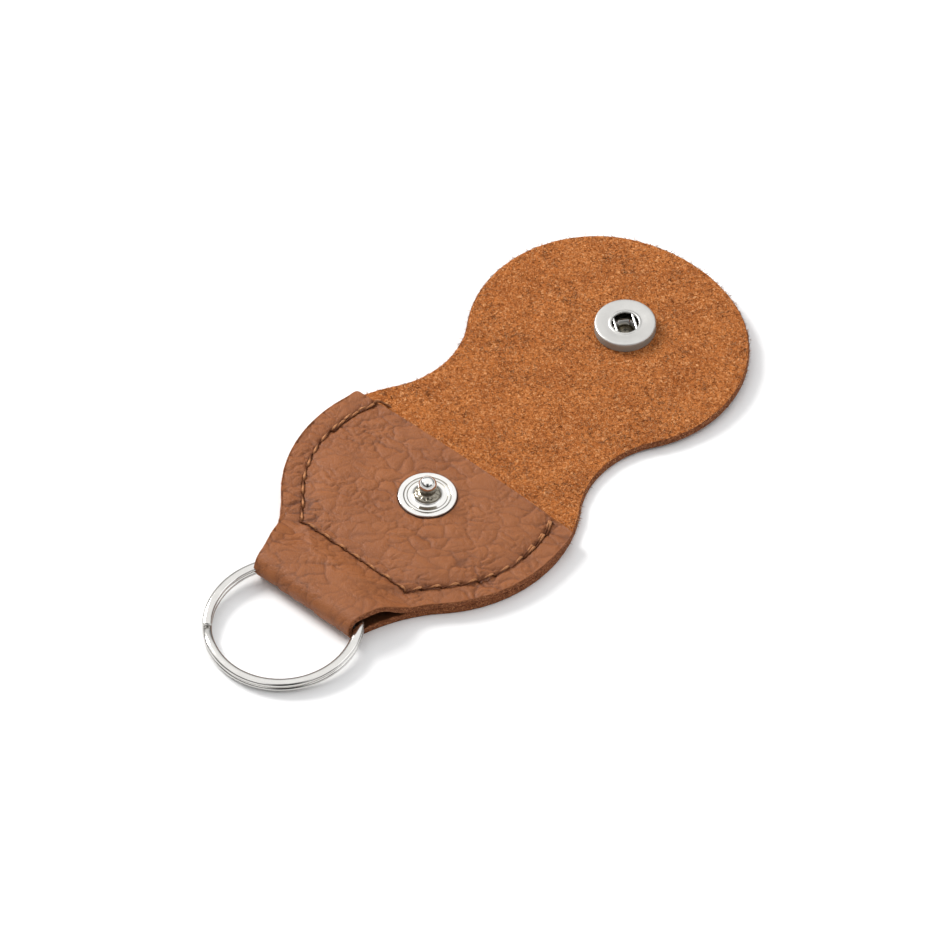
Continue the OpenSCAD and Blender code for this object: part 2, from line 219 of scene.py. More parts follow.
def suede_leather():
    """Napped flesh side: a mat of short fibres, light and dark."""
    n = principled("suede_leather", Roughness=0.95, Specular_IOR_Level=0.06, Sheen_Weight=0.08,
                   Sheen_Roughness=0.6, Sheen_Tint=(0.95, 0.62, 0.36, 1))
    flat = n.attribute("flat", "Vector")
    fibre = n.attribute("fibre")
    patches = n.noise(flat, 0.16, 4.0, 0.6)
    clumps = n.noise(flat, 1.1, 4.0, 0.65, 0.6)
    nap = n.noise(flat, 2.3, 5.0, 0.72, 1.3)
    base = n.ramp(patches, (0.33, (0.440, 0.128, 0.028)), (0.67, (0.560, 0.180, 0.043)))
    dark = n.ramp(nap, (0.38, 1.0), (0.485, 0.0))
    light = n.ramp(nap, (0.53, 0.0), (0.63, 1.0))
    base = n.mix(n.math("MULTIPLY", dark, 0.9), base, (0.110, 0.024, 0.005))
    base = n.mix(n.math("MULTIPLY", light, 0.8), base, (0.840, 0.450, 0.210))
    base = n.mix(n.ramp(clumps, (0.34, 0.5), (0.5, 0.0)), base, (0.270, 0.080, 0.022))
    strand = n.ramp(fibre, (0.02, (0.110, 0.028, 0.008)), (0.45, (0.400, 0.130, 0.040)),
                    (0.98, (0.840, 0.480, 0.260)))
    base = n.mix(n.math("GREATER_THAN", fibre, 0.001), base, strand)
    # Painted shade: the crease attribute darkens the suede inside the pocket
    base = n.mix(n.attribute("crease"), base, (0.045, 0.012, 0.005))
    return n.shade(Base_Color=base, Normal=n.bump(clumps, 0.00018, 0.7, Normal=n.bump(nap, 0.00040)))


def cut_edge():
    n = principled("cut_edge", Roughness=0.88, Specular_IOR_Level=0.2)
    fibres = n.noise(n.attribute("flat", "Vector"), 3.4, 5.0, 0.7, 1.0)
    base = n.ramp(fibres, (0.32, (0.050, 0.014, 0.005)), (0.50, (0.215, 0.066, 0.022)),
                  (0.66, (0.560, 0.230, 0.105)))
    return n.shade(Base_Color=base, Normal=n.bump(fibres, 0.0003))


def sewing_thread():
    n = principled("sewing_thread", Roughness=0.75, Specular_IOR_Level=0.15)
    strands = n.noise(n.attribute("flat", "Vector"), 4.0, 3.0, 0.6)
    base = n.ramp(strands, (0.3, (0.330, 0.125, 0.045)), (0.7, (0.640, 0.310, 0.145)))
    # Painted shade: the crease attribute darkens the thread where it lies sunk in the groove, and its tail
    base = n.mix(n.attribute("crease"), base, (0.100, 0.030, 0.011))
    return n.shade(Base_Color=base, Normal=n.bump(strands, 0.00006))


def plated(name, colour, gloss, scratch, metallic=1.0):
    """Nickel plate with faint wear: gloss is its range of roughness."""
    n = principled(name, Metallic=metallic)
    place = n.add("TexCoord").outputs["Object"]
    haze = n.noise(place, 420.0, 4.0, 0.6)
    marks = n.noise(place, 2600.0, 3.0, 0.6)
    tint = n.ramp(haze, (0.3, tuple(0.93 * c for c in colour)), (0.7, colour))
    return n.shade(Base_Color=tint, Roughness=n.ramp(haze, (0.3, gloss[0]), (0.7, gloss[1])),
                   Normal=n.bump(marks, scratch))


def floor_finish():
    n = principled("pale_floor", Roughness=0.9, Specular_IOR_Level=0.1)
    patches = n.noise(n.add("TexCoord").outputs["Object"], 3.0)
    return n.shade(Base_Color=n.ramp(patches, (0.3, (0.90, 0.90, 0.905)), (0.7, (0.91, 0.91, 0.915))))


# ---------- mesh helpers ----------

def mesh_piece(name, points, faces, materials, material_of=None, normals=None, attributes=()):
    """A smooth mesh object from points in millimetres."""
    mesh = bpy.data.meshes.new(name)
    mesh.from_pydata((np.asarray(points, float) * MM).tolist(), [], [tuple(map(int, f)) for f in faces])
    for material in materials:
        mesh.materials.append(material)
    if material_of is not None:
        mesh.polygons.foreach_set("material_index", np.asarray(material_of, np.int32))
    mesh.polygons.foreach_set("use_smooth", np.ones(len(mesh.polygons), bool))
    for key, values in dict(attributes).items():
        values = np.asarray(values, np.float32)
        if values.ndim == 2:
            mesh.attributes.new(key, "FLOAT_VECTOR", "POINT").data.foreach_set("vector", values.ravel())
        else:
            mesh.attributes.new(key, "FLOAT", "POINT").data.foreach_set("value", values)
    mesh.update()
    if normals is not None:
        mesh.normals_split_custom_set_from_vertices([tuple(n) for n in normals])
    piece = bpy.data.objects.new(name, mesh)
    bpy.context.scene.collection.objects.link(piece)
    return piece


def ring_faces(rings, columns, closed=False):
    """Quads between rings of points, and end caps unless the last ring joins the first one."""
    r, c = np.meshgrid(np.arange(rings if closed else rings - 1), np.arange(columns), indexing="ij")
    r, c = r.ravel() * columns, c.ravel()
    r2, c2 = (r + columns) % (rings * columns), (c + 1) % columns
    faces = np.stack([r + c, r + c2, r2 + c2, r2 + c], 1).tolist()
    if not closed:
        faces += [list(range(columns))[::-1], list(range((rings - 1) * columns, rings * columns))]
    return faces


def smoothstep(x, a, b):
    t = np.clip((np.asarray(x, float) - a) / (b - a), 0, 1)
    return t * t * (3 - 2 * t)


def fade(x, a, b):
    """Falls smoothly from 1 at a to 0 at b."""
    return 1 - smoothstep(x, a, b)


def bell(x, width):
    return np.exp(-(x / width) ** 2)


def unit(vectors):
    return vectors / np.linalg.norm(vectors, axis=1)[:, None]


def directions(angles):
    return np.column_stack([np.cos(angles), np.sin(angles)])


def scatter(ix, iy, seed):
    """Two fixed random numbers for each cell of a grid."""
    h = (ix.astype(np.int64) * 374761393 + iy.astype(np.int64) * 668265263 + seed * 974634777) & 0xFFFFFFFF
    h = ((h ^ (h >> 13)) * 1274126177) & 0xFFFFFFFF
    h = h ^ (h >> 16)
    g = (h * 2246822519 + 3266489917) & 0xFFFFFFFF
    g = (g ^ (g >> 15)) & 0xFFFFFFFF
    return h / 4294967296.0, g / 4294967296.0


def value_noise(p, size, seed):
    """Smooth noise from -1 to 1 with features of that size."""
    q = p / size
    i = np.floor(q)
    f = q - i
    f = f * f * (3 - 2 * f)
    ix, iy = i[:, 0], i[:, 1]
    a, b, c, d = (scatter(ix + dx, iy + dy, seed)[0] for dx, dy in ((0, 0), (1, 0), (0, 1), (1, 1)))
    low, high = a * (1 - f[:, 0]) + b * f[:, 0], c * (1 - f[:, 0]) + d * f[:, 0]
    return 2 * (low * (1 - f[:, 1]) + high * f[:, 1]) - 1


def cell_edges(p, size, seed):
    """Distance to the nearest edge between random cells, as a share of their size."""
    q = p / size
    base = np.floor(q)
    near = np.full((len(p), 2), 9.0)
    for dx in (-1, 0, 1):
        for dy in (-1, 0, 1):
            cx, cy = base[:, 0] + dx, base[:, 1] + dy
            jx, jy = scatter(cx, cy, seed)
            d = np.hypot(cx + jx - q[:, 0], cy + jy - q[:, 1])
            near = np.sort(np.column_stack([near, d]), 1)[:, :2]
    return near[:, 1] - near[:, 0]


def turned(angle):
    """Rotation about X."""
    c, s = math.cos(angle), math.sin(angle)
    return np.array([[1, 0, 0], [0, c, -s], [0, s, c]])


def joint_place(name):
    return np.array(next(j["pos_m"] for j in frame["joints"] if j["name"] == name)) / MM


# ---------- the strip of leather ----------

LEATHER = 1.4
HALF = LEATHER / 2
POUCH_R, POUCH_Y = 25.4, 1.9
NECK_HALF_W, NECK_FILLET_R = 10.0, 29.5
NECK_X = NECK_HALF_W + NECK_FILLET_R
NECK = np.array([NECK_X, POUCH_Y - math.sqrt((POUCH_R + NECK_FILLET_R) ** 2 - NECK_X ** 2)])
WAIST_R = 17.0
HEAD_SIDE_R, HEAD_DX, HEAD_Y, HEAD_TOP_R = 22.3, 2.8, 47.9, 29.8
FOLD, ROLL = joint_place("flap_fold"), joint_place("flap_roll")
FOLD_Y, FOLD_GAP = FOLD[1], ROLL[1] - FOLD[1]
FLAP_TILT = math.radians(2)
MOUTH_Y, MOUTH_GAP, SEAM_GAP = 10.45, 0.25, 0.85
LOOP_END_Y, LOOP_GAP = -31.0, 2.5
RAMP_START_Y, RAMP_END_Y, RAMP_BEND_R = -22.2, -16.8, 7.0
SNAP_X, STUD_R = 0.8, 5.0
SEAM_INSET, SEAM_END_Y = 3.7, -18.0
LOOP_R = LEATHER + LOOP_GAP / 2
LOOP_Y = LOOP_END_Y + LOOP_R
LOOP_MID_R = LOOP_R - HALF
FRONT_SLOPE = (SEAM_GAP - MOUTH_GAP) / (MOUTH_Y - RAMP_END_Y)


def circles_meet(p, rp, q, rq):
    p, q = np.array(p), np.array(q)
    d = np.linalg.norm(q - p)
    u = (q - p) / d
    a = (rp * rp - rq * rq + d * d) / (2 * d)
    return p + u * a + np.array([u[1], -u[0]]) * math.sqrt(rp * rp - a * a)


def arc(centre, r, a0, a1, step):
    """Points along an arc, about step apart, without its last one."""
    n = max(2, int(abs(a1 - a0) * r / step))
    return centre + r * directions(a0 + (a1 - a0) * np.arange(n) / n)


def right_edge(step):
    """The leather's edge on the +X side, from the middle of the flap's end to the ring fold."""
    pouch, side = np.array([0, POUCH_Y]), np.array([HEAD_DX, HEAD_Y])
    waist = circles_meet(pouch, POUCH_R + WAIST_R, side, HEAD_SIDE_R + WAIST_R)
    top = np.array([0, HEAD_Y - math.sqrt((HEAD_TOP_R - HEAD_SIDE_R) ** 2 - HEAD_DX ** 2)])
    way = lambda v: math.atan2(v[1], v[0])
    low, high, join, end = way(waist - pouch), way(waist - side), way(NECK - pouch), way(side - top)
    last = math.pi - math.asin((LOOP_END_Y - 1 - NECK[1]) / NECK_FILLET_R)
    return np.vstack([
        arc(top, HEAD_TOP_R, math.pi / 2, end, step), arc(side, HEAD_SIDE_R, end, high, step),
        arc(waist, WAIST_R, math.pi + high, math.pi + low, step), arc(pouch, POUCH_R, low, join, step),
        arc(NECK, NECK_FILLET_R, math.pi + join, last, step)])


EDGE = right_edge(0.3)
FLAP_END_Y = EDGE[0, 1]


def half_width(y):
    """Half width of the strip at a place along it."""
    return np.interp(-np.asarray(y), -EDGE[:, 1], EDGE[:, 0])


def midline():
    """The folded strip's middle line, as points (y, z) from the flap's end round the ring to the mouth."""
    slope = math.atan(FRONT_SLOPE)
    z_front = lambda y: LEATHER + MOUTH_GAP + HALF + (MOUTH_Y - y) * FRONT_SLOPE
    top_z = LOOP_R + LOOP_MID_R
    drop = math.atan((top_z - z_front(RAMP_END_Y)) / (RAMP_END_Y - RAMP_START_Y))
    start = np.array([RAMP_START_Y, top_z])
    foot = np.array([RAMP_END_Y, z_front(RAMP_END_Y)])
    top_c = start - [RAMP_BEND_R * math.tan(drop / 2), RAMP_BEND_R]
    off_ramp = np.array([math.sin(drop), math.cos(drop)])
    down_ramp = np.array([math.cos(drop), -math.sin(drop)])
    foot_c = foot + RAMP_BEND_R * off_ramp - RAMP_BEND_R * math.tan((drop - slope) / 2) * down_ramp
    y_flat = np.arange(FLAP_END_Y, LOOP_Y, -0.1)
    tilt = FLAP_TILT / 2 * (smoothstep(y_flat, FOLD_Y - 2, FOLD_Y + 2)
                            + smoothstep(y_flat, FOLD_Y + FOLD_GAP - 2, FOLD_Y + FOLD_GAP + 2))
    steps = np.diff(y_flat, prepend=y_flat[0])
    y = FLAP_END_Y + np.cumsum(steps * np.cos(tilt))
    z = np.cumsum(steps * np.sin(tilt))
    flat = np.column_stack([y - y[-1] + y_flat[-1], z - z[-1] + HALF])
    down = math.pi / 2
    return np.vstack([
        flat, arc((LOOP_Y, LOOP_R), LOOP_MID_R, 3 * down, down, 0.1),
        arc(top_c, RAMP_BEND_R, down, down - drop, 0.1),
        arc(foot_c, RAMP_BEND_R, 3 * down - drop, 3 * down - slope, 0.1), [[MOUTH_Y, z_front(MOUTH_Y)]]])


LINE = midline()
LENGTHS = np.concatenate([[0], np.cumsum(np.linalg.norm(np.diff(LINE, axis=0), axis=1))])
STRIP_END = LENGTHS[-1]
S = np.linspace(0, STRIP_END, int(STRIP_END / 0.1))


def smoothed(values, reach=6):
    window = np.hanning(2 * reach + 1)
    return np.convolve(np.pad(values, reach, mode="edge"), window / window.sum(), "valid")


S_Y, S_Z = (np.interp(S, LENGTHS, LINE[:, k]) for k in (0, 1))
T_Y, T_Z = (smoothed(np.gradient(v, S)) for v in (S_Y, S_Z))
FOLD_S = float(S[np.argmin(S_Y)])


def on_strip(x, s, t):
    """Points at x across, s along and t from the middle of the strip towards its grain face."""
    x, s, t = np.broadcast_arrays(np.atleast_1d(x), s, t)
    ty, tz = np.interp(s, S, T_Y), np.interp(s, S, T_Z)
    length = np.hypot(ty, tz)
    over = s - np.clip(s, 0, STRIP_END)
    y, z = np.interp(s, S, S_Y) + over * ty, np.interp(s, S, S_Z) + over * tz
    return np.column_stack([x, y - t * tz / length, z + t * ty / length - rim_drop(x, s)])


def rim_drop(x, s):
    """How far the sewn rim of the front panel is pulled down towards the back."""
    y = np.interp(s, S, S_Y)
    gap = np.interp(s, S, S_Z) - HALF - LEATHER
    inside_edge = half_width(y) - np.abs(x)
    near_rim = fade(inside_edge, SEAM_INSET - 0.5, SEAM_INSET + 6)
    across_end = 0.6 * fade(y, SEAM_END_Y + 1, SEAM_END_Y + 6)
    pulled = np.maximum(near_rim * smoothstep(y, -25.5, -19.3), across_end * smoothstep(y, -23.2, -18.2))
    return pulled * (s > FOLD_S) * np.clip(gap - 0.1, 0, None)


def s_back(y):
    """Place along the strip for a flat place on its lower layer."""
    return FLAP_END_Y - y


def s_front(y):
    """Place along the strip for a place on its upper layer."""
    upper = S > FOLD_S
    return np.interp(y, S_Y[upper], S[upper])


# ---------- seam ----------

SIDE_STITCHES, CURVE_STITCHES, END_STITCHES = 8, 2, 7
TWICE_SEWN, TWICE_SHIFT = 3, 0.4


def seam_holes():
    """Needle holes from the right end of the seam round the neck end to its left end."""
    r, neck_r = POUCH_R - SEAM_INSET, NECK_FILLET_R + SEAM_INSET
    join = math.atan2(NECK[1] - POUCH_Y, NECK[0])
    top = math.asin((MOUTH_Y - 0.6 - POUCH_Y) / r)
    last = math.pi - math.asin((SEAM_END_Y - NECK[1]) / neck_r)
    half = np.vstack([
        [0, POUCH_Y] + r * directions(np.linspace(top, join, SIDE_STITCHES + 1)),
        NECK + neck_r * directions(np.linspace(math.pi + join, last, CURVE_STITCHES + 1)[1:])])
    end_x = half[-1, 0]
    end = np.column_stack([np.linspace(end_x, -end_x, END_STITCHES + 1)[1:-1],
                           np.full(END_STITCHES - 1, SEAM_END_Y)])
    return np.vstack([half, end, (half * [-1, 1])[::-1]])


HOLES = seam_holes()


def seam_pairs():
    """Each stitch as its two holes: the seam, then the stitches sewn twice at its two ends."""
    pairs = [(HOLES[i], HOLES[i + 1]) for i in range(len(HOLES) - 1)]
    shift = np.array([TWICE_SHIFT, 0])
    for i in range(TWICE_SEWN):
        pairs.append((HOLES[i] - shift, HOLES[i + 1] - shift))
        pairs.append((HOLES[-1 - i] + shift, HOLES[-2 - i] + shift))
    return pairs


def seam_dent(p):
    """Depth to which the stitches pull the leather's face in at points (x, y)."""
    groove, pull = np.full(len(p), 9.0), np.full(len(p), 9.0)
    for a, b in seam_pairs():
        ab = b - a
        t = np.clip(((p - a) @ ab) / (ab @ ab), 0, 1)
        groove = np.minimum(groove, np.linalg.norm(p - a - t[:, None] * ab, axis=1))
        pull = np.minimum(pull, np.minimum(np.linalg.norm(p - a, axis=1), np.linalg.norm(p - b, axis=1)))
    return 0.22 * bell(groove, 0.26) + 0.14 * bell(pull, 0.45) + 0.12 * bell(groove, 1.5)


def seam_rows():
    """Points (x, y) in close rows along the stitches, so that the mesh can follow their groove."""
    rows = []
    for a, b in seam_pairs():
        along = (b - a) / np.linalg.norm(b - a)
        across = np.array([along[1], -along[0]])
        middle = a + (b - a) * np.linspace(0.02, 0.98, 17)[:, None]
        rows += [middle + across * offset for offset in (-0.34, -0.17, 0, 0.17, 0.34)]
    return np.vstack(rows)


# ---------- leather surfaces ----------

GRAIN_TURN = np.array([[0.75, 0.66], [-0.66, 0.75]])


def grain_relief(x, s):
    """Height of the grain face, 0 or less, and how deep in a crease each point is, from 0 to 1."""
    p = np.column_stack([x, s])
    warp = np.column_stack([value_noise(p, 2.7, 1) + 0.5 * value_noise(p, 1.3, 2),
                            value_noise(p, 2.7, 3) + 0.5 * value_noise(p, 1.3, 4)])
    q = (p + 0.72 * warp) @ GRAIN_TURN.T * [0.78, 1.22]
    coarse = cell_edges(q, 3.0, 11)
    fine = cell_edges(q + 0.5 * warp, 1.25, 12)
    strength = 0.62 + 0.38 * value_noise(p, 5.5, 5)
    fine_strength = 0.50 + 0.50 * value_noise(p, 3.5, 6)
    dome = lambda edge, reach: -(1 - np.clip(edge / reach, 0, 1)) ** 1.7
    flat_out = 1 - 0.75 * smoothstep(s, s_front(-24), s_front(-27)) * (s > FOLD_S)
    pillow = flat_out * (0.30 * strength * dome(coarse, 0.6) + 0.19 * fine_strength * dome(fine, 0.6))
    wrinkle = neck_wrinkles(p)
    crease = strength * fade(coarse, 0.0, 0.13) + 0.6 * fine_strength * fade(fine, 0.0, 0.16)
    crease = np.clip(0.8 * crease + wrinkle, 0, 1)
    rolling = 0.05 * (value_noise(p, 5.0, 8) - 1)
    return pillow + rolling - 0.08 * crease - 0.12 * wrinkle, crease


def neck_wrinkles(p):
    """Fine lines beside the neck, where the front panel bends down to the seam."""
    across = (p @ GRAIN_TURN.T) * [0.20, 1.0]
    line = 1 - np.abs(value_noise(across, 0.9, 41)) / 0.16
    near_s = float(s_front(-15.5))
    reach = np.hypot((p[:, 0] + 12.0) / 7.5, (p[:, 1] - near_s) / 4.0)
    right_reach = np.hypot((p[:, 0] - 12.0) / 5.0, (p[:, 1] - near_s) / 3.5)
    return np.clip(line, 0, 1) * np.maximum(fade(reach, 0.45, 1), 0.6 * fade(right_reach, 0.5, 1))


def suede_relief(x, s):
    p = np.column_stack([x, s])
    tufts = 0.035 * value_noise(p, 0.9, 21) + 0.03 * value_noise(p, 0.5, 22)
    return tufts + 0.05 * (value_noise(p, 4.0, 23) - 1)


# ---------- strip mesh ----------

EDGE_ROUND = 0.22
COARSE, FINE = ((0.42, 0.24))
SOCKET_Y = 2 * FOLD_Y + FOLD_GAP
POST_HOLE_R = 2.2
# Where the strip is cut into pieces, from the flap's end to the pocket's mouth
CUTS = [s_back(FOLD_Y + FOLD_GAP + 2.1), s_back(FOLD_Y + FOLD_GAP / 2), s_back(FOLD_Y - 2.1), s_back(-18.4),
        float(s_front(-18.4))]
# The front panel was not cut quite like the back: its corners at the mouth stand out a little
LEFT_CORNER_OUT, RIGHT_CORNER_OUT = 0.35, 0.4
MOUTH_BULGE = 0.5


def sides(s):
    """The strip's left and right edge at places along it."""
    y = np.where(s < s_back(LOOP_Y), FLAP_END_Y - s, np.interp(s, S, S_Y))
    w = half_width(y)
    top = s > FOLD_S
    return (-w - top * LEFT_CORNER_OUT * smoothstep(y, 7.6, MOUTH_Y),
            w + top * RIGHT_CORNER_OUT * smoothstep(y, 3, MOUTH_Y))


def corner(p, c, q, shares):
    """Points of a rounded corner from p to q, drawn towards c."""
    return [(1 - u) ** 2 * np.array(p) + 2 * u * (1 - u) * np.array(c) + u * u * np.array(q) for u in shares]


def outward(loop):
    """Unit vectors that point out of an anticlockwise loop at each of its points."""
    along = unit(np.roll(loop, -1, 0) - np.roll(loop, 1, 0))
    return np.column_stack([along[:, 1], -along[:, 0]])


def strip_outline():
    """Closed outline as points (x, s), anticlockwise, with the rounding of the cut edge taken off."""
    edge = EDGE[(EDGE[:, 1] > LOOP_Y) & (EDGE[:, 0] > 0.1)]
    s = np.concatenate([s_back(edge[:, 1]), np.arange(s_back(LOOP_Y), STRIP_END - 0.6, FINE)])
    left, right = sides(s)
    x0, x1 = sides(np.array([STRIP_END]))
    x0, x1 = float(x0[0]), float(x1[0])
    x = np.arange(x1 - 0.5, x0 + 0.5, -FINE)
    mouth = np.column_stack([x, STRIP_END - 0.2 + MOUTH_BULGE * (1 - (x / x1) ** 2)])
    shares = (0.33, 0.67)
    right_side, left_side = np.column_stack([right, s]), np.column_stack([left, s])
    loop = np.vstack([
        right_side, corner(right_side[-1], (x1, STRIP_END - 0.2), mouth[0], shares), mouth,
        corner(mouth[-1], (x0, STRIP_END - 0.2), left_side[-1], shares), left_side[::-1], [[0, 0]]])
    return loop - EDGE_ROUND * outward(loop)


def with_crossings(loop, levels):
    """The closed loop with points added where it crosses each level of s."""
    out = []
    for p, q in zip(loop, np.roll(loop, -1, 0)):
        out.append(p)
        hits = sorted((abs(c - p[1]), c) for c in levels if (p[1] - c) * (q[1] - c) < 0)
        out += [p + (q - p) * (c - p[1]) / (q[1] - p[1]) for _, c in hits]
    return np.array(out)


def hex_grid(s0, s1, step):
    rows = np.arange(s0, s1, step * 0.866)
    columns = np.arange(-POUCH_R - 1, POUCH_R + 1, step)
    x = columns[None, :] + (np.arange(len(rows)) % 2)[:, None] * step / 2
    p = np.column_stack([x.ravel(), np.repeat(rows, len(columns))])
    p = p + RNG.uniform(-0.12, 0.12, p.shape) * step
    left, right = sides(p[:, 1])
    keep = (p[:, 0] > left + EDGE_ROUND + 0.45 * step) & (p[:, 0] < right - EDGE_ROUND - 0.45 * step)
    tip = EDGE_ROUND + 0.5 * step + p[:, 0] ** 2 / (2 * HEAD_TOP_R)
    keep &= (p[:, 1] > tip) & (p[:, 1] < STRIP_END - 0.5)
    for c in CUTS:
        keep &= abs(p[:, 1] - c) > 0.5 * step
    hole = np.hypot(p[:, 0] - SNAP_X, p[:, 1] - s_back(SOCKET_Y))
    return p[keep & (hole > POST_HOLE_R + 0.4 * step)]


def close_rows():
    """Points (x, s) set closer than the grid: along the seam on both layers, and round the stud."""
    seam = seam_rows()
    turn = np.linspace(0, 2 * math.pi, 121)[:-1]
    around = [np.column_stack([SNAP_X + r * np.cos(turn), s_front(r * np.sin(turn))])
              for r in (STUD_R - 0.05, STUD_R + 0.08, STUD_R + 0.25)]
    return np.vstack([np.column_stack([seam[:, 0], s_front(seam[:, 1])]),
                      np.column_stack([seam[:, 0], s_back(seam[:, 1])]), *around])


def clear_of(points, others, reach):
    """Those points that share no cell with any other point, on four grids set half a cell apart."""
    keep = np.ones(len(points), bool)
    for shift in ((0, 0), (0.5, 0), (0, 0.5), (0.5, 0.5)):
        taken = set(map(tuple, np.floor(others / reach + shift)))
        keep &= np.array([tuple(cell) not in taken for cell in np.floor(points / reach + shift)])
    return points[keep]


def inside(points, loop):
    """Which points lie in the closed loop."""
    ahead = np.roll(loop, -1, 0)
    x, y = points[:, :1], points[:, 1:]
    crosses = (loop[:, 1] > y) != (ahead[:, 1] > y)
    rise = np.where(ahead[:, 1] == loop[:, 1], 1e-12, ahead[:, 1] - loop[:, 1])
    return (crosses & (x < (ahead[:, 0] - loop[:, 0]) * (y - loop[:, 1]) / rise + loop[:, 0])).sum(1) % 2 == 1


def triangulate():
    """Flat points (x, s), triangles, and the loops of edge points: the outline and the cap post's hole."""
    outline = with_crossings(strip_outline(), CUTS)
    turn = np.linspace(0, 2 * math.pi, 49)[:-1]
    socket = np.array([SNAP_X, s_back(SOCKET_Y)])
    hole = socket + POST_HOLE_R * directions(-turn)
    points, edges = [outline, hole], []
    on_loops = (range(len(outline)), range(len(outline), len(outline) + len(hole)))
    for loop in on_loops:
        edges += zip(loop, [*loop[1:], loop[0]])
    count = len(outline) + len(hole)
    for c in CUTS:
        ends = [i for i, p in enumerate(outline) if abs(p[1] - c) < 1e-9]
        a, b = sorted(ends, key=lambda i: outline[i, 0])
        step = COARSE if c < s_back(LOOP_Y) else FINE
        n = int((outline[b, 0] - outline[a, 0]) / step)
        points.append(outline[a] + (outline[b] - outline[a]) * (np.arange(1, n) / n)[:, None])
        chain = [a, *range(count, count + n - 1), b]
        edges += zip(chain, chain[1:])
        count += n - 1
    middle = s_back(LOOP_Y)
    close = close_rows()
    points += [close, hex_grid(0, middle, COARSE), clear_of(hex_grid(middle, STRIP_END, FINE), close, FINE)]
    made = delaunay_2d_cdt([Vector(p) for p in np.vstack(points)], edges, [], 0, 1e-7)
    verts, triangles = np.array([tuple(v) for v in made[0]]), np.array(made[2])
    to_new = {old: new for new, olds in enumerate(made[3]) for old in olds}
    loops = [[to_new[i] for i in loop] for loop in on_loops]
    rim = np.zeros(len(verts), bool)
    rim[loops[0] + loops[1]] = True
    doubtful = np.flatnonzero(rim[triangles].all(1))
    keep = np.ones(len(triangles), bool)
    keep[doubtful] = inside(verts[triangles[doubtful]].mean(1), outline)
    keep &= np.hypot(*(verts[triangles].mean(1) - socket).T) > POST_HOLE_R * 0.99
    return verts, triangles[keep], loops


def vertex_normals(points, faces):
    """Area-weighted normals, from triangles and quads."""
    normals = np.zeros_like(points)
    for size, spans in ((3, ((1, 0), (2, 0))), (4, ((2, 0), (3, 1)))):
        group = np.array([f for f in faces if len(f) == size])
        if len(group):
            a, b = (points[group[:, i]] - points[group[:, j]] for i, j in spans)
            face = np.cross(a, b)
            for k in range(size):
                np.add.at(normals, group[:, k], face)
    return normals / np.maximum(np.linalg.norm(normals, axis=1), 1e-12)[:, None]


# Rows of the cut edge from the grain face to the suede face: how far out, and the place in the thickness
EDGE_ROWS = ((0.12, 0.66), (0.20, 0.54), (0.22, 0.34), (0.20, 0.05), (0.22, -0.25), (0.19, -0.48),
             (0.10, -0.64))
GRAIN_ROWS = 2
EDGE_ROUGH = 0.075


def edge_walls(flat, loop, first):
    """Points, flat places, faces and kinds of the cut edge along a loop of edge points. In the whole mesh the
    grain points come first, the suede points after them, and these from number first on."""
    count = len(loop)
    p = flat[loop]
    out = outward(p)
    points, places = [], []
    for k, (step, t) in enumerate(EDGE_ROWS):
        rough = EDGE_ROUGH * value_noise(np.column_stack([p[:, 0] * 1.3 + 7 * k, p[:, 1] * 1.3]), 0.55, 31)
        q = p + out * (step + (rough if k >= GRAIN_ROWS else 0.3 * rough))[:, None]
        level = np.full(count, t)
        points.append(on_strip(q[:, 0], q[:, 1], level))
        places.append(np.column_stack([q, level]))
    rows = [np.asarray(loop), *(first + count * np.arange(len(EDGE_ROWS))[:, None] + np.arange(count)),
            np.asarray(loop) + len(flat)]
    faces = [np.stack([upper, lower, np.roll(lower, -1), np.roll(upper, -1)], 1)
             for upper, lower in zip(rows, rows[1:])]
    kinds = np.repeat([0 if k < GRAIN_ROWS else 2 for k in range(len(faces))], count)
    return np.vstack(points), np.vstack(places), np.vstack(faces), kinds


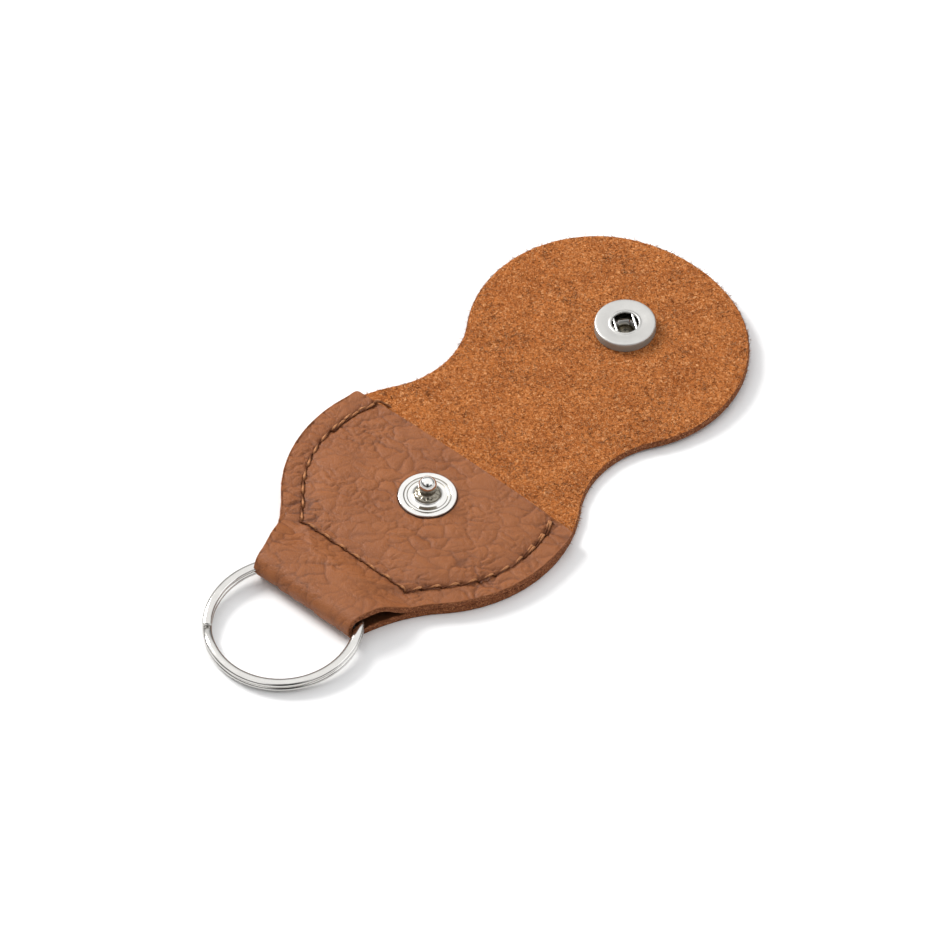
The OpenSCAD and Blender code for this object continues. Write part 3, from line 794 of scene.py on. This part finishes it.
def whole_strip():
    """The strip as one mesh: points, flat places, faces, kinds (0 grain, 1 suede, 2 cut edge) and the painted
    shade of each point.
    """
    flat, triangles, loops = triangulate()
    x, s = flat.T
    y = np.where(s < s_back(LOOP_Y), FLAP_END_Y - s, np.interp(s, S, S_Y))
    relief, crease = grain_relief(x, s)
    sewn = seam_dent(np.column_stack([x, y])) * (y < MOUTH_Y + 3) * (1.0 - 0.4 * (s < FOLD_S))
    around_stud = np.hypot(x - SNAP_X, y) - STUD_R
    on_top = s > FOLD_S
    pressed = (0.10 * bell(around_stud, 0.6) + 0.10 * bell(around_stud - 0.06, 0.10)) * on_top
    relief = relief * np.where(on_top, smoothstep(around_stud, -1, 1.5), 1) - sewn - pressed
    # Painted shade: the seam's groove and the dent round the stud are darkened along with the creases
    crease = np.clip(crease + 2.0 * sewn + 6.0 * (pressed - 0.08) * (pressed > 0.08), 0, 1)
    # Painted shade on the suede inside the pocket, where little light reaches
    pocket_shade = 0.9 * smoothstep(s, s_back(MOUTH_Y - 3), s_back(MOUTH_Y - 8)) * (s < STRIP_END - 0.6)
    # The ring dents the loop's inner face where the fold is too narrow for it
    ring = (on_strip(x, s, -HALF) - RING_PLACE) @ RING_TURN
    reach = np.abs(np.hypot(ring[:, 0], ring[:, 1]) - (RING_R - RING_BAND / 2)) - RING_BAND / 2
    squeeze = 0.5 * fade(reach, -0.1, 0.5) * fade(np.abs(ring[:, 2]), 0.9, 1.15)
    points = [on_strip(x, s, HALF + relief), on_strip(x, s, -HALF + suede_relief(x, s) + squeeze)]
    places = [np.column_stack([x, s, np.full(len(s), t)]) for t in (HALF, -HALF)]
    faces = [triangles, triangles[:, ::-1] + len(flat)]
    kinds = [np.zeros(len(triangles), int), np.ones(len(triangles), int)]
    first = 2 * len(flat)
    for loop in loops:
        wall = edge_walls(flat, loop, first)
        first += len(wall[0])
        for store, part in zip((points, places, faces, kinds), wall):
            store.append(part)
    # Painted shade of each point: the grain's creases, then the suede inside the pocket, none on the cut edge
    painted_shade = np.concatenate([crease, pocket_shade, np.zeros(first - 2 * len(flat))])
    faces = [list(f) for group in faces for f in group]
    return np.vstack(points), np.vstack(places), faces, np.concatenate(kinds), painted_shade


def strip_pieces(materials):
    """Cuts the strip where its bodies meet. Neighbours keep the same points and normals, so no seam shows."""
    points, places, faces, kinds, painted_shade = whole_strip()
    normals = vertex_normals(points, faces)
    middle = np.array([places[f, 1].mean() for f in faces])
    ends = [0, *CUTS, STRIP_END + 9]
    names = ("flap_leather", "outer_fold_leather", "inner_fold_leather", "pocket_back_leather",
             "ring_loop_leather", "pocket_front_leather")
    pieces = {}
    for name, s0, s1 in zip(names, ends, ends[1:]):
        chosen = np.flatnonzero((middle > s0) & (middle <= s1))
        own = [faces[i] for i in chosen]
        used = np.unique(np.concatenate([np.array(f) for f in own]))
        index = np.full(len(points), -1)
        index[used] = np.arange(len(used))
        hairs = suede_hairs(s0, s1, name)
        pieces[name] = mesh_piece(
            name, np.vstack([points[used], hairs["points"]]),
            [index[f].tolist() for f in own] + (hairs["faces"] + len(used)).tolist(), materials,
            np.concatenate([kinds[chosen], np.ones(len(hairs["faces"]), int)]),
            np.vstack([normals[used], hairs["normals"]]),
            {"flat": np.vstack([places[used], hairs["places"]]),
             "crease": np.concatenate([painted_shade[used], np.zeros(len(hairs["points"]))]),
             "fibre": np.concatenate([np.zeros(len(used)), hairs["tone"]])})
    return pieces


# ---------- nap of the suede ----------

HAIR_R = 0.045
HAIRS_PER_MM2, EDGE_HAIRS_PER_MM = ((6.0, 10.0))
NAP_FROM_Y = 8.5
HAIR_REACH = 25


def suede_hairs(s0, s1, name):
    """Short bent spikes on the suede face between two places along the strip, as points and faces. There are
    none on the stretch that the pocket hides."""
    s1 = max(s0, min(s1, s_back(NAP_FROM_Y)))
    rng = np.random.default_rng(len(name))
    n = int((s1 - s0) * 2 * HAIR_REACH * HAIRS_PER_MM2)
    p = np.column_stack([rng.uniform(-HAIR_REACH, HAIR_REACH, n), rng.uniform(s0, s1, n)])
    left, right = sides(p[:, 1])
    from_socket = np.hypot(p[:, 0] - SNAP_X, p[:, 1] - s_back(SOCKET_Y))
    p = p[(p[:, 0] > left + 0.1) & (p[:, 0] < right - 0.1) & (from_socket > 5.2)]
    n = len(p)
    sets = [(p, rng.uniform(0, 2 * math.pi, n), rng.uniform(0.04, 0.30, n), rng.uniform(0.45, 1.1, n),
             np.full(n, HALF - 0.02)), *edge_hairs(s0, s1, rng)]
    p, heading, lift, length, depth = (np.concatenate(part) for part in zip(*sets))
    return spikes(p, heading, lift, np.clip(length, 0.12, 1.1), depth, rng)


def edge_hairs(s0, s1, rng):
    """Hairs that point outwards along both cut edges: their places, headings, lifts, lengths and depths."""
    edge = EDGE[(s_back(EDGE[:, 1]) > s0) & (s_back(EDGE[:, 1]) < s1)]
    if len(edge) < 3:
        return []
    numbers = np.arange(len(edge))
    walked = np.concatenate([[0], np.cumsum(np.linalg.norm(np.diff(edge, axis=0), axis=1))])
    n = int(walked[-1] * EDGE_HAIRS_PER_MM)
    at = lambda number: np.column_stack([np.interp(number, numbers, edge[:, k]) for k in (0, 1)])
    sets = []
    for side in (-1, 1):
        number = np.interp(rng.uniform(0, walked[-1], n), walked, numbers)
        q = at(number)
        ahead = at(number + 1) - q
        out = np.arctan2(ahead[:, 0], -ahead[:, 1])
        out_x, out_y = np.cos(out), np.sin(out)
        inset = rng.uniform(0.03, 0.35, n)
        spot = np.column_stack([side * (q[:, 0] - out_x * inset), s_back(q[:, 1] - out_y * inset)])
        heading = np.arctan2(-out_y, side * out_x) + rng.normal(0, 0.9, n)
        lift = rng.uniform(-0.5, 0.35, n)
        length = rng.gamma(3.0, 0.10, n) + 0.14
        depth = rng.uniform(0.05, HALF - 0.05, n) * rng.choice([1, 1, -0.2], n)
        sets.append((spot, heading, lift, length, depth))
    return sets


def spikes(p, heading, lift, length, depth, rng):
    """Bent three-sided spikes lying on the suede face, each with 7 points and 10 faces."""
    n = len(p)
    bend = rng.normal(0, 0.5, n)
    along, bent = directions(heading), directions(heading + bend)
    across = np.column_stack([-along[:, 1], along[:, 0]])
    rows, levels = [], []
    for share, width in ((0.0, 1.0), (0.5, 0.8), (1.0, 0.0)):
        q = p + along * (length * min(share, 0.5))[:, None] + bent * (length * max(share - 0.5, 0))[:, None]
        for sideways, upward in ((0, 1.0), (0.87, -0.5), (-0.87, -0.5)) if width else ((0, 0),):
            rows.append(q + across * (HAIR_R * width * sideways))
            levels.append(depth + length * lift * share + HAIR_R * width * upward)
    flat = np.stack(rows, 1).reshape(-1, 2)
    t = -np.stack(levels, 1).ravel()
    points = on_strip(flat[:, 0], flat[:, 1], t)
    spike = [(0, 1, 2), (0, 4, 1), (0, 3, 4), (1, 5, 2), (1, 4, 5), (2, 3, 0), (2, 5, 3), (3, 6, 4),
             (4, 6, 5), (5, 6, 3)]
    faces = (np.arange(n)[:, None, None] * 7 + np.array(spike)[None]).reshape(-1, 3)
    return {"points": points, "places": np.column_stack([flat, t]), "faces": faces,
            "normals": vertex_normals(points, faces.tolist()),
            "tone": np.repeat(rng.uniform(0.02, 1.0, n), 7)}


# ---------- places of the hardware ----------

RING_R, RING_BAND, RING_H = 13.5, 1.7, 2.0
RING_PLACE, RING_TURN = joint_place("ring_turn"), turned(math.radians(3.4))
FRONT_ANGLE = math.atan(FRONT_SLOPE)
STUD_Z = LEATHER + MOUTH_GAP + HALF + MOUTH_Y * FRONT_SLOPE + HALF / math.cos(FRONT_ANGLE)
STUD_PLACE, STUD_TURN = np.array([SNAP_X, 0, STUD_Z]), turned(-FRONT_ANGLE)
SOCKET_TURN = turned(FLAP_TILT)
SOCKET_PLACE = ROLL + SOCKET_TURN @ np.array([SNAP_X, SOCKET_Y - FOLD_Y - FOLD_GAP, LEATHER - FOLD[2]])


# ---------- metal parts ----------

def rounded(profile, reach):
    """A profile with each inner corner replaced by a small arc."""
    profile = np.array(profile, float)
    out = [profile[0]]
    for a, b, c in zip(profile, profile[1:], profile[2:]):
        la, lc = np.linalg.norm(a - b), np.linalg.norm(c - b)
        cut = min(reach, 0.42 * la, 0.42 * lc)
        out += corner(b + (a - b) * cut / la, b, b + (c - b) * cut / lc, np.linspace(0, 1, 4))
    return np.array(out + [profile[-1]])


def lathe(name, profile, place, turn, materials, segments=128, shape=None, kinds=None, closed=False):
    """Turns a profile (r, z) about its z axis. shape(r, z, angle) may change it to new (r, z), kinds gives
    the material of each step of the profile, and a closed profile has no end caps."""
    angle = np.linspace(0, 2 * math.pi, segments + 1)[:-1]
    profile = np.asarray(profile)
    r, z = profile[:, :1] * np.ones(segments), profile[:, 1:] * np.ones(segments)
    if shape:
        r, z = shape(r, z, angle[None, :])
    local = np.stack([r * np.cos(angle), r * np.sin(angle), z], -1).reshape(-1, 3)
    faces = [face[::-1] for face in ring_faces(len(profile), segments, closed)]
    material_of = np.concatenate([np.repeat(kinds, segments), [] if closed else [kinds[0], kinds[-1]]])
    return mesh_piece(name, local @ turn.T + place, faces, materials, material_of)


def tube(path, radius, sides, ply=0.0, turns=0.0):
    """Points and faces of a round tube along a path. ply and turns give it the strands of a thread."""
    path = np.asarray(path, float)
    tangent = unit(np.gradient(path, axis=0))
    side = np.cross(tangent, [0.02, 0.03, 1.0])
    upright = np.linalg.norm(side, axis=1) < 0.1
    side[upright] = np.cross(tangent[upright], [1, 0.1, 0])
    side = unit(side)
    top = np.cross(side, tangent)
    angle = np.linspace(0, 2 * math.pi, sides + 1)[:-1]
    share = np.linspace(0, 1, len(path))[:, None]
    r = np.reshape(radius, (-1, 1)) * (1 + ply * np.cos(3 * angle[None] - 2 * math.pi * turns * share))
    points = path[:, None] + r[..., None] * (np.cos(angle)[None, :, None] * side[:, None]
                                            + np.sin(angle)[None, :, None] * top[:, None])
    return points.reshape(-1, 3), ring_faces(len(path), sides)


def merged(parts):
    """Several (points, faces) as one."""
    points, faces, first = [], [], 0
    for p, f in parts:
        points.append(p)
        faces += [[i + first for i in face] for face in f]
        first += len(p)
    return np.vstack(points), faces


STUD_SINK, BALL_R, BALL_Z, STUD_NECK_R = 0.25, 1.6, 2.5, 1.25
GROOVES = ((3.98, 0.09), (3.44, 0.07))


def make_stud(bright, shaded):
    """Disc with two grooves, a collar where the post is spread, a neck and a ball."""
    profile = rounded([
        (0.02, -STUD_SINK), (STUD_R - 0.14, -STUD_SINK), (STUD_R, -0.1), (STUD_R, 0.12),
        (STUD_R - 0.12, 0.24), (4.12, 0.23), (3.95, 0.09), (3.78, 0.12), (3.52, 0.14), (3.38, 0.05),
        (2.75, 0.05), (2.42, 0.16), (2.26, 0.42), (2.20, 0.62), (1.95, 0.78), (1.55, 0.86),
        (STUD_NECK_R, 0.98), (STUD_NECK_R, BALL_Z - 1.15)], 0.10)
    turns = np.linspace(math.asin(STUD_NECK_R / BALL_R), math.pi - 0.01, 30)
    whole = np.vstack([profile, [(BALL_R * math.sin(a), BALL_Z - BALL_R * math.cos(a)) for a in turns]])

    def crimped(r, z, angle):
        """Small dents round the collar."""
        return r, z - 0.10 * bell(r - 1.75, 0.22) * (z < 1.1) * np.clip(np.cos(12 * angle), 0, 1)

    r, z = (whole[1:] + whole[:-1]).T / 2
    # Painted shade on the neck, the collar and the two grooves, and a painted dark reflection on the ball's
    # lower part: these take the shaded copy of the nickel
    dark = (r < 2.32) & (z > 0.2) & (z < BALL_Z + 0.25)
    for middle, reach in GROOVES:
        dark |= (abs(r - middle) < reach) & (z > 0)
    return lathe("snap_stud", whole, STUD_PLACE, STUD_TURN, [bright, shaded], 144, crimped, dark.astype(int))


SOCKET_H, FACE_T = 1.9, 0.3


def make_socket(face, wall_shade_metal):
    """Rolled ring: a tall outer wall, a broad face that dips slightly, and a small bead round the opening."""
    profile = rounded([
        (4.9, 1.45), (4.9, 0.02), (5.25, 0.02), (5.35, 0.22), (5.35, 1.45), (5.30, 1.74), (5.12, 1.88),
        (4.7, SOCKET_H), (3.9, 1.86), (3.1, 1.78), (2.86, 1.77), (2.72, 1.87), (2.52, 1.89), (2.36, 1.78),
        (2.32, 1.52), (2.5, 1.42), (4.9, 1.45)], 0.16)[:-1]
    r, z = profile.T
    # Painted shade: the outer wall takes the darker, duller copy of the nickel
    wall = (r > 5.2) & (z < 1.62) | (r > 4.0) & (z < 1.2)
    return lathe("snap_socket", profile, SOCKET_PLACE, SOCKET_TURN, [face, wall_shade_metal],
                 kinds=wall.astype(int), closed=True)


def make_cap(plate, shaded):
    """Domed disc under the flap, its post through the leather and the post's flare, a six-sided funnel."""
    dome_r, rim, bore_r = 40.0, 6.0, 1.62
    bottom = -SOCKET_PLACE[2] / math.cos(FLAP_TILT)
    centre = bottom + dome_r
    dome = [(r, centre - math.sqrt(dome_r ** 2 - r * r)) for r in np.linspace(0.02, rim, 14)]
    rim_z = dome[-1][1]
    outside = dome + [(6.12, rim_z + 0.05), (6.18, rim_z + 0.16), (6.05, -LEATHER - 0.03),
                      (2.15, -LEATHER - 0.03), (2.15, -0.22), (2.26, -0.10), (2.30, 0.0), (2.24, 0.06),
                      (2.10, 0.04), (bore_r, -0.6)]
    bore = [(bore_r, -0.7), (bore_r, bottom + 0.32), (0.02, bottom + 0.32)]
    # Painted shade: the bore takes the shaded copy of the nickel
    kinds = [0] * (len(outside) - 1) + [1] * len(bore)

    def split(r, z, angle):
        """The flare opens into six flat-sided petals."""
        turn = angle + math.radians(11)
        sector = (turn % (math.pi / 3)) - math.pi / 6
        hexagon = math.cos(math.pi / 6) / np.cos(sector)
        lip = smoothstep(z, -0.7, -0.3) * (r < 3)
        return r * (1 - lip + lip * hexagon * 1.06), z + 0.08 * lip * np.abs(np.sin(3 * turn))

    return lathe("snap_cap_and_post", outside + bore, SOCKET_PLACE, SOCKET_TURN, [plate, shaded], 144, split,
                 kinds)


def make_spring(material):
    """The socket's wire: two straight legs beside the ball, joined round one side."""
    wire_r, leg_x, reach, bend, coil = 0.26, 1.72, 2.8, 0.6, 3.9
    z = SOCKET_H - FACE_T - wire_r - 0.02
    left_x, right_x = -leg_x - bend, leg_x - bend
    left = np.array([left_x, math.sqrt((coil - bend) ** 2 - left_x ** 2)])
    right = np.array([right_x, -math.sqrt((coil - bend) ** 2 - right_x ** 2)])
    left_a, right_a = math.atan2(left[1], left[0]), math.atan2(right[1], right[0])
    bow = lambda centre, r, a0, a1, n: centre + r * directions(np.linspace(a0, a1, n))
    leg = lambda x, y0, y1: np.column_stack([np.full(8, x), np.linspace(y0, y1, 8)])
    flat = np.vstack([
        leg(-leg_x, -reach, left[1] - 0.2), bow(left, bend, 0, left_a, 8),
        bow([0, 0], coil, left_a, 2 * math.pi + right_a, 50)[1:], bow(right, bend, right_a, 0, 6)[1:],
        leg(leg_x, right[1] + 0.3, reach)])
    turn = math.radians(54)
    spin = np.array([[math.cos(turn), -math.sin(turn)], [math.sin(turn), math.cos(turn)]])
    points, faces = tube(np.column_stack([flat @ spin.T, np.full(len(flat), z)]), wire_r, 14)
    return mesh_piece("snap_spring", points @ SOCKET_TURN.T + SOCKET_PLACE, faces, [material])


def make_ring(material):
    """Two turns of flattened wire. The lower turn crosses to the upper one in a short joggle."""
    joggle, half_joggle, end = math.radians(228), math.radians(16), math.radians(5)
    a = np.linspace(joggle + end, joggle + 4 * math.pi - end, 520)
    cross = joggle + 2 * math.pi
    z = (RING_H / 4 + 0.01) * (2 * smoothstep(a, cross - half_joggle, cross + half_joggle) - 1)
    tip = np.minimum(smoothstep(a - a[0], 0, 0.12), smoothstep(a[-1] - a, 0, 0.12))[:, None]
    turn = np.linspace(0, 2 * math.pi, 25)[:-1]
    bulge = lambda v: np.sign(v) * np.abs(v) ** 1.1
    width, height = RING_BAND / 2, RING_H / 4 - 0.005
    r = RING_R - width + width * bulge(np.cos(turn))[None] * (0.9 + 0.1 * tip)
    local = np.stack([r * np.cos(a)[:, None], r * np.sin(a)[:, None],
                      z[:, None] + height * bulge(np.sin(turn))[None] * (0.75 + 0.25 * tip)], -1)
    faces = [face[::-1] for face in ring_faces(len(a), len(turn))]
    return mesh_piece("key_ring", local.reshape(-1, 3) @ RING_TURN.T + RING_PLACE, faces, [material])


# ---------- stitches ----------

THREAD_R, THREAD_SIDES = 0.18, 12
THREAD_SINK, BACK_SINK, HOLE_DEPTH = 0.25, 0.22, 0.7
HUMP_PEAK, HUMP_WIDTH = 0.27, 0.24


def stitch_path(a, b, u, place, rng):
    """A stitch comes up beside hole a, shows a short bright hump, and lies sunk in the groove to hole b."""
    side = np.array([b[1] - a[1], a[0] - b[0]]) / np.linalg.norm(b - a)
    slant = 0.13 + rng.normal(0, 0.04)
    peak = HUMP_PEAK + rng.normal(0, 0.06)
    flat = a + (b - a) * u[:, None] + side * (slant * np.cos(math.pi * u))[:, None]
    hump = (0.21 + rng.normal(0, 0.03)) * bell(u - peak, HUMP_WIDTH)
    return place(flat, hump - THREAD_SINK - HOLE_DEPTH * np.abs(2 * u - 1) ** 13)


def make_stitches(name, place, material, seed, tail=None):
    rng = np.random.default_rng(seed)
    u = np.linspace(0, 1, 22)
    hump = bell(u - HUMP_PEAK, HUMP_WIDTH)
    thickness = THREAD_R * (0.85 + 0.22 * hump)
    parts = [tube(stitch_path(a, b, u, place, rng), thickness, THREAD_SIDES, 0.22, 2.2)
             for a, b in seam_pairs()]
    # Painted shade: the thread is darkened where it lies sunk in the groove, least at its hump, and its tail
    # evenly
    thread_shade = [np.repeat(0.97 - 0.9 * hump, THREAD_SIDES)] * len(parts)
    if tail is not None:
        parts.append(tube(tail, 1.2 * THREAD_R, THREAD_SIDES, 0.2, 4))
        thread_shade.append(np.full(THREAD_SIDES * len(tail), 0.6))
    points, faces = merged(parts)
    attributes = {"crease": np.concatenate(thread_shade), "flat": points}
    return mesh_piece(name, points, faces, [material], attributes=attributes)


def on_front(flat, level):
    return on_strip(flat[:, 0], s_front(flat[:, 1]), HALF + level)


def on_back(flat, level):
    return on_strip(flat[:, 0], s_back(flat[:, 1]), HALF + level - BACK_SINK)


def tail_path():
    """The thread's end, wrapped over the mouth's edge onto the suede."""
    x, y = HOLES[-1]
    start = on_front(np.array([[x, y], [x + 0.1, y + 0.35]]), np.array([-0.5, 0.12]))
    knots = np.vstack([start, [[x + dx, MOUTH_Y + dy, LEATHER + dz] for dx, dy, dz in (
        (0.5, 0.45, 1.35), (1.0, 1.0, 0.65), (1.7, 1.45, 0.22), (2.3, 1.5, -0.2))]])
    u = np.linspace(0, len(knots) - 1, 26)
    return np.column_stack([smoothed(np.interp(u, np.arange(len(knots)), knots[:, k]), 3) for k in range(3)])


# ---------- assembly ----------

def stand_in(piece, body, node):
    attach(piece, body)
    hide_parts(node)


def bending(piece, node):
    """Bakes the piece's transform into its mesh and hides the frame's part it stands for."""
    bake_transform(piece)
    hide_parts(node)


make_camera()
make_world()
area_light("key", -0.55, 0.45, 0.52, 0.34, 7.0, (1, 0.99, 0.97))
area_light("fill", 0.8, -0.1, 0.6, 0.6, 0.8, (0.96, 0.98, 1))
make_floor(floor_finish())

grain, suede, cut = grain_leather(), suede_leather(), cut_edge()
thread = sewing_thread()
bright = plated("bright_nickel", (0.80, 0.785, 0.76), (0.08, 0.16), 0.000004)
satin = plated("satin_nickel", (0.55, 0.54, 0.52), (0.33, 0.43), 0.000008, 0.85)
cap_plate = plated("cap_nickel", (0.72, 0.705, 0.68), (0.30, 0.40), 0.000006)
ring_plate = plated("ring_nickel", (0.66, 0.645, 0.62), (0.10, 0.19), 0.000005)
# Painted shade: a darker, duller copy of the nickel for the socket's outer wall
wall_shade_nickel = plated("painted_shade_wall_nickel", (0.34, 0.35, 0.32), (0.40, 0.50), 0.000008, 0.3)
# Painted shade: a darker copy of the nickel for hollows, grooves, the stud's neck and the underside of its
# ball
shaded = plated("shaded_nickel", (0.27, 0.245, 0.20), (0.22, 0.36), 0.000008)

leather = strip_pieces([grain, suede, cut])
stand_in(leather["flap_leather"], "flap", "flap")
stand_in(leather["pocket_back_leather"], "pocket", "back_panel")
stand_in(leather["pocket_front_leather"], "pocket", "front_panel")
bending(leather["outer_fold_leather"],
        "fold_strip")
bending(leather["inner_fold_leather"],
        "fold_strip")
bending(leather["ring_loop_leather"], "ring_loop")

for piece, body, slot, node in (
        (make_stitches("needle_stitches", on_front, thread, 3, tail_path()), "pocket", "sewing_thread",
         "needle_thread"),
        (make_stitches("bobbin_stitches", on_back, thread, 4), "pocket", "sewing_thread", "bobbin_thread"),
        (make_stud(bright, shaded), "pocket", "bright_nickel", "stud"),
        (make_socket(satin, wall_shade_nickel), "flap", "satin_nickel", "socket_shell"),
        (make_cap(cap_plate, shaded), "flap", "bright_nickel", "snap_cap"),
        (make_spring(bright), "flap", "bright_nickel", "socket_spring"),
        (make_ring(ring_plate), "ring", "bright_nickel", "split_ring")):
    stand_in(piece, body, node)
# Painted shade: the frame's post and plate take the shaded copy of the nickel
for node in ("stud_post", "socket_plate"):
    mesh = frame["nodes"][node].data
    mesh.materials.clear()
    mesh.materials.append(shaded)

bpy.context.scene.view_settings.view_transform = "Standard"
